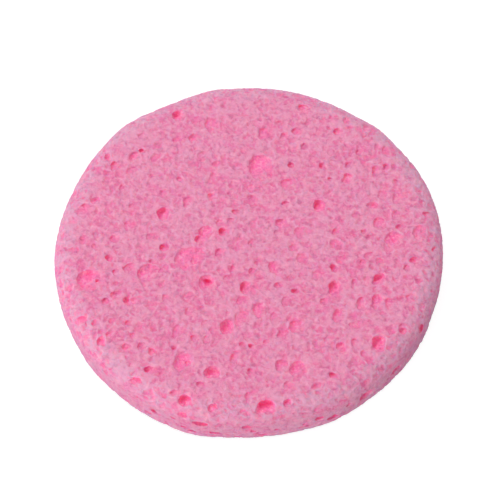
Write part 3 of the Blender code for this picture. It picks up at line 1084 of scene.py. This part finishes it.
def sponge_material(looks):
    """Pink cellulose: palest on the tops of its walls, where a sheen is painted, and reddest deep
    in the pores, where shade and a red glow are painted.
    """
    material = bpy.data.materials.new("pink_cellulose")
    material.use_nodes = True
    tree = material.node_tree
    shader = tree.nodes["Principled BSDF"]
    sunk, raised, inset, steep = (
        add(tree, "ShaderNodeAttribute", {"attribute_name": name}).outputs["Fac"]
        for name in ("sunk", "raised", "inset", "steep")
    )
    place = tree.nodes.new("ShaderNodeTexCoord").outputs["Object"]
    fibres = noise_of(tree, place, width=0.00055, detail=3, roughness=0.65)
    blush = noise_of(tree, place, width=0.0022, distortion=0.4)
    streaks = noise_of(tree, place, width=0.0010, distortion=0.8)
    mottle = noise_of(tree, place, width=0.0010, distortion=0.6)
    grain = noise_of(tree, place, width=0.00032, roughness=0.6)
    shift = math_of(tree, "MULTIPLY_ADD", fibres, 2 * FIBRE_SHIFT, -FIBRE_SHIFT)
    sunk = math_of(tree, "ADD", sunk, shift)

    # The painted sheen on the tops of the walls is greyer on the shoulder, and pale crumbs on the
    # flat of a floor are painted highlights
    on_shoulder = math_of(
        tree, "MULTIPLY",
        ranged(tree, inset, *SHOULDER_INSETS, smooth=True),
        ranged(tree, inset, *RIM_INSETS, RIM_SHARE, 1.0),
    )
    walls = mixed(tree, on_shoulder, looks.pale_and_sheen_colour, looks.shoulder_colour)
    top_reach = math_of(tree, "MULTIPLY_ADD", on_shoulder, SHOULDER_TOP_REACH, TOP_REACH)
    blushing = where(tree, blush, 0.52, 0.66, most=0.4)
    on_floor = math_of(
        tree, "MULTIPLY",
        where(tree, sunk, *CRUMB_HIGHLIGHT_DEPTHS), where(tree, steep, 0.35, 0.08, most=0.6),
    )
    crumbs = math_of(tree, "MULTIPLY", on_floor, where(tree, fibres, 0.48, 0.60))

    # Layers of colour over the painted sheen of the walls' tops, each laid on the ones before it
    colour = walls
    for shown, layer, blend in (
        (ranged(tree, sunk, 0.0, top_reach), looks.face_colour, "MIX"),
        # Rosy and pale patches, dry streaks, and a painted highlight that makes whatever stands out
        # pale again
        (blushing, looks.rosy_and_shade_colour, "MIX"),
        (blushing, looks.mark_colour, "MULTIPLY"),
        (where(tree, blush, 0.47, 0.33, most=0.55), walls, "MIX"),
        (where(tree, streaks, 0.52, 0.68, most=0.42), looks.streak_colour, "MIX"),
        (where(tree, raised, 0.00001, 0.00007, most=0.3), walls, "MIX"),
        # Painted shade with a red glow on the steep walls and in the hollows of the pores, with
        # painted highlights of their crumbs
        (where(tree, steep, 0.20, 0.65), looks.rosy_and_shade_colour, "MIX"),
        (where(tree, sunk, *HOLLOW_SHADE_DEPTHS), looks.rosy_and_shade_colour, "MIX"),
        (crumbs, looks.fleck_highlight_colour, "MIX"),
        # Painted highlights of fine flecks, and rosy marks, over all but the deepest places
        (where(tree, mottle, 0.55, 0.68, most=0.3), looks.fleck_highlight_colour, "MIX"),
        (where(tree, mottle, 0.45, 0.32, most=0.65), looks.mark_colour, "MULTIPLY"),
        (where(tree, grain, 0.56, 0.70, most=0.15), looks.fleck_highlight_colour, "MIX"),
        (where(tree, grain, 0.42, 0.30, most=0.2), looks.mark_colour, "MULTIPLY"),
        # Painted shade with a red glow at the bottom of deep pores
        (where(tree, sunk, *DEEP_SHADE_DEPTHS), looks.deep_shade_colour, "MIX"),
    ):
        colour = mixed(tree, shown, colour, layer, blend)
    plug(tree, colour, shader.inputs["Base Color"])
    bump = made(tree, "ShaderNodeBump", strength=1.0, distance=0.00014, height=grain)
    plug(tree, bump, shader.inputs["Normal"])
    for name, value in (
        ("Roughness", 0.85),
        ("Specular IOR Level", 0.2),
        ("Subsurface Weight", 0.75),
        ("Subsurface Radius", (1.0, 0.10, 0.18)),
        ("Subsurface Scale", 0.0030),
    ):
        shader.inputs[name].default_value = value
    return material


class SPONGE_OT_foam(bpy.types.Operator):
    """Make the open-cell sponge."""

    bl_idname = "sponge.foam"
    bl_label = "Sponge"

    def execute(self, context):
        sizes = context.scene.sponge_sizes
        classes = classed(upper_pores(sizes) + underside_pores(sizes) + side_slits(sizes))
        holder = bpy.data.objects.new("sponge_cells", bubble_points(classes))
        context.collection.objects.link(holder)
        modifier = holder.modifiers.new("cells", "NODES")
        modifier.node_group = foam_group(len(classes))
        values = {
            "Radius": sizes.diameter / 2,
            "Thickness": sizes.thickness,
            "Shoulder Reach": sizes.shoulder_reach,
            "Shoulder Drop": sizes.shoulder_drop,
            "Foot Round": sizes.foot_round,
            "Crumb": sizes.crumb,
            "Grain": sizes.grain,
            "Seed": sizes.seed,
            "Material": sponge_material(context.scene.sponge_looks),
        }
        for item in modifier.node_group.interface.items_tree:
            if item.name in values:
                modifier[item.identifier] = values[item.name]
        graph = context.evaluated_depsgraph_get()
        mesh = bpy.data.meshes.new_from_object(
            holder.evaluated_get(graph), preserve_all_data_layers=True, depsgraph=graph
        )
        bpy.data.objects.remove(holder)
        if not mesh.polygons:
            raise RuntimeError("the sponge came out empty")
        mesh.name = "cellulose_sponge"
        piece = bpy.data.objects.new("cellulose_sponge", mesh)
        context.collection.objects.link(piece)
        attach(piece, "root")
        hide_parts(SPONGE_NODE)
        return {"FINISHED"}


def seen_by_camera(tree):
    """1 for what the camera sees, also in a mirror or through glass, and 0 for other light."""
    path = tree.nodes.new("ShaderNodeLightPath").outputs
    seen = math_of(tree, "ADD", path["Is Camera Ray"], path["Is Glossy Ray"])
    seen = math_of(tree, "ADD", seen, path["Is Transmission Ray"])
    return math_of(tree, "MINIMUM", seen, 1)


def add_camera(scene, settings):
    """The camera, which looks at the sponge from in front and above."""
    data = bpy.data.cameras.new("camera")
    data.lens = settings.lens
    data.sensor_width = 36
    data.clip_start = 0.01
    camera = bpy.data.objects.new("camera", data)
    scene.collection.objects.link(camera)
    back = Vector((0, -math.cos(settings.elevation), math.sin(settings.elevation)))
    camera.location = CAMERA_AIM + back * settings.distance
    camera.rotation_euler = back.to_track_quat("Z", "Y").to_euler()
    scene.camera = camera


def add_floor(scene, settings):
    """The floor, which glows white where the camera sees it and keeps the shadow."""
    mesh = bpy.data.meshes.new("floor")
    half = settings.floor_size / 2
    corners = [(-half, -half, 0), (half, -half, 0), (half, half, 0), (-half, half, 0)]
    mesh.from_pydata(corners, [], [(0, 1, 2, 3)])
    floor = bpy.data.objects.new("floor", mesh)
    scene.collection.objects.link(floor)
    material = bpy.data.materials.new("white_floor")
    material.use_nodes = True
    tree = material.node_tree
    shader = tree.nodes["Principled BSDF"]
    shader.inputs["Base Color"].default_value = (FLOOR_GREY, FLOOR_GREY, FLOOR_GREY, 1)
    shader.inputs["Roughness"].default_value = 1
    shader.inputs["Emission Color"].default_value = (1, 1, 1, 1)
    glow = math_of(tree, "MULTIPLY", seen_by_camera(tree), FLOOR_GLOW)
    plug(tree, glow, shader.inputs["Emission Strength"])
    mesh.materials.append(material)


def add_lights(scene, settings):
    """The even light of a white room, and two soft lamps."""
    scene.world = bpy.data.worlds.new("studio")
    scene.world.use_nodes = True
    sky = scene.world.node_tree
    background = sky.nodes["Background"]
    background.inputs["Color"].default_value = (1, 1, 1, 1)
    white_where_seen = ranged(sky, seen_by_camera(sky), 0.0, 1.0, settings.sky, 1.0)
    plug(sky, white_where_seen, background.inputs["Strength"])
    for name, power, place in (
        ("key_light", settings.key_power, KEY_PLACE),
        ("front_light", settings.front_power, FRONT_PLACE),
    ):
        light = bpy.data.lights.new(name, "AREA")
        light.size = LIGHT_WIDTH
        light.energy = power
        lamp = bpy.data.objects.new(name, light)
        lamp.location = place
        lamp.rotation_euler = lamp.location.to_track_quat("Z", "Y").to_euler()
        scene.collection.objects.link(lamp)


class SPONGE_OT_stage(bpy.types.Operator):
    """Make the floor, the lights and the camera."""

    bl_idname = "sponge.stage"
    bl_label = "Stage"

    def execute(self, context):
        scene = context.scene
        add_camera(scene, scene.sponge_stage)
        add_floor(scene, scene.sponge_stage)
        add_lights(scene, scene.sponge_stage)
        scene.view_settings.view_transform = "Standard"
        return {"FINISHED"}


class SPONGE_PT_panel(bpy.types.Panel):
    """Lists what can be made, and its settings."""

    bl_idname = "SPONGE_PT_panel"
    bl_label = "Sponge"
    bl_space_type = "VIEW_3D"
    bl_region_type = "UI"
    bl_category = "Sponge"

    def draw(self, context):
        for operator in (SPONGE_OT_foam, SPONGE_OT_stage):
            self.layout.operator(operator.bl_idname)
        for group in ("sponge_sizes", "sponge_looks", "sponge_stage"):
            settings = getattr(context.scene, group)
            for name in type(settings).__annotations__:
                self.layout.prop(settings, name)


CLASSES = (
    SpongeSizes, SpongeLooks, StageSettings, SPONGE_OT_foam, SPONGE_OT_stage, SPONGE_PT_panel,
)


def register():
    for kind in CLASSES:
        bpy.utils.register_class(kind)
    bpy.types.Scene.sponge_sizes = PointerProperty(type=SpongeSizes)
    bpy.types.Scene.sponge_looks = PointerProperty(type=SpongeLooks)
    bpy.types.Scene.sponge_stage = PointerProperty(type=StageSettings)


def unregister():
    del bpy.types.Scene.sponge_stage
    del bpy.types.Scene.sponge_looks
    del bpy.types.Scene.sponge_sizes
    for kind in reversed(CLASSES):
        bpy.utils.unregister_class(kind)


def main():
    register()
    bpy.ops.sponge.foam()
    bpy.ops.sponge.stage()


if __name__ == "__main__":
    main()
